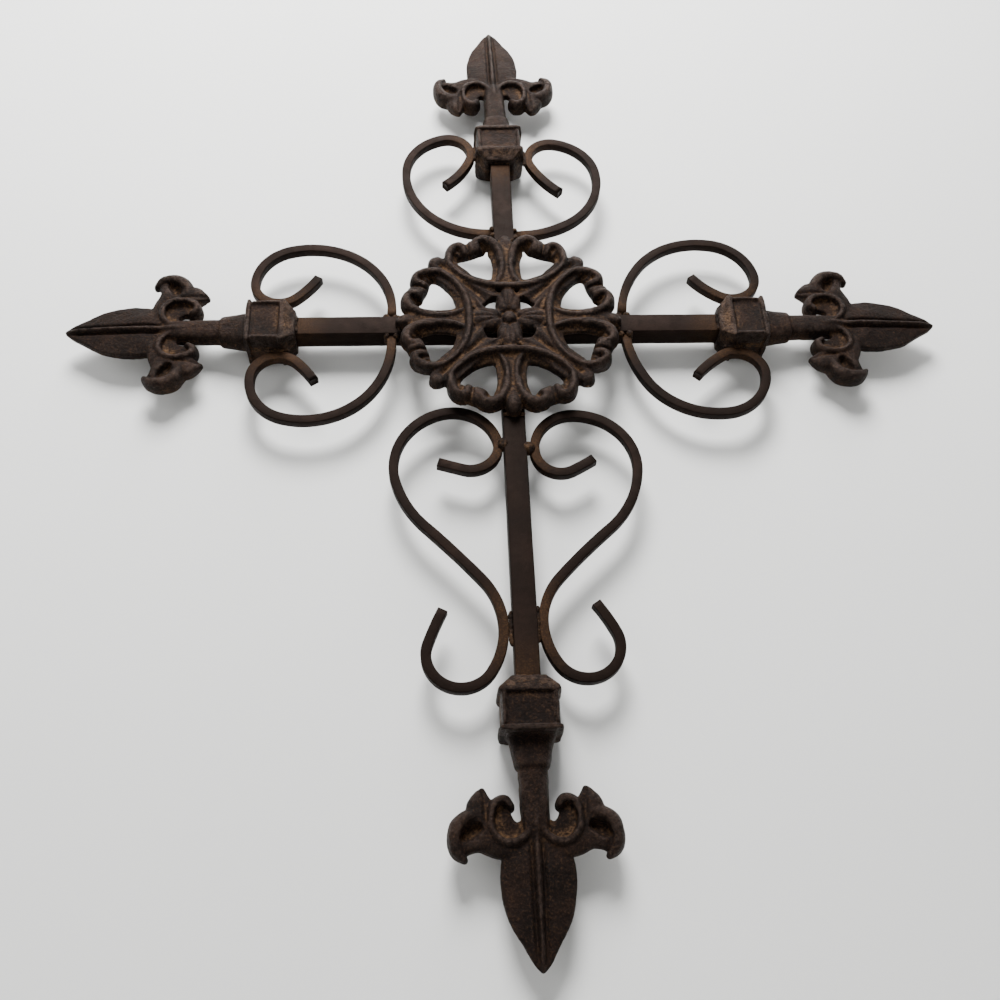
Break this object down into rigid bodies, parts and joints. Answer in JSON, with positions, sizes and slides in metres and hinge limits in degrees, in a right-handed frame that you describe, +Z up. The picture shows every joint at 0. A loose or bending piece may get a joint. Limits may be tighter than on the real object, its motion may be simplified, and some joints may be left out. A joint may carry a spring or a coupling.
{
  "type": "metal wall cross",
  "caption": "Wall cross of welded square iron bar with bent rod scrolls, cast fleur-de-lis ends and an openwork cast rosette over the crossing, hung flat on a wall.",
  "frame": {"origin": "on the upright's back face, at the crossing of the upright and the arms", "axes": "+Z up the upright to the top finial, +X to the viewer's right, -Y out of the front, +Y into the wall"},
  "size_m": [0.5246, 0.0296, 0.6265],
  "materials": {
    "dark_bar_iron": "satin, worn dark brown-black",
    "rusty_cast_iron": "sand-cast grain with rust-brown patina in the hollows"
  },
  "bodies": {
    "root": {"upright_bar": "dark_bar_iron", "left_arm_bar": "dark_bar_iron", "right_arm_bar": "dark_bar_iron", "top_left_scroll": "dark_bar_iron", "top_right_scroll": "dark_bar_iron", "left_upper_scroll": "dark_bar_iron", "left_lower_scroll": "dark_bar_iron", "right_upper_scroll": "dark_bar_iron", "right_lower_scroll": "dark_bar_iron", "lower_left_scroll": "dark_bar_iron", "lower_right_scroll": "dark_bar_iron", "top_finial": "rusty_cast_iron", "bottom_finial": "rusty_cast_iron", "left_finial": "rusty_cast_iron", "right_finial": "rusty_cast_iron", "rosette": "rusty_cast_iron"}
  },
  "joints": []
}
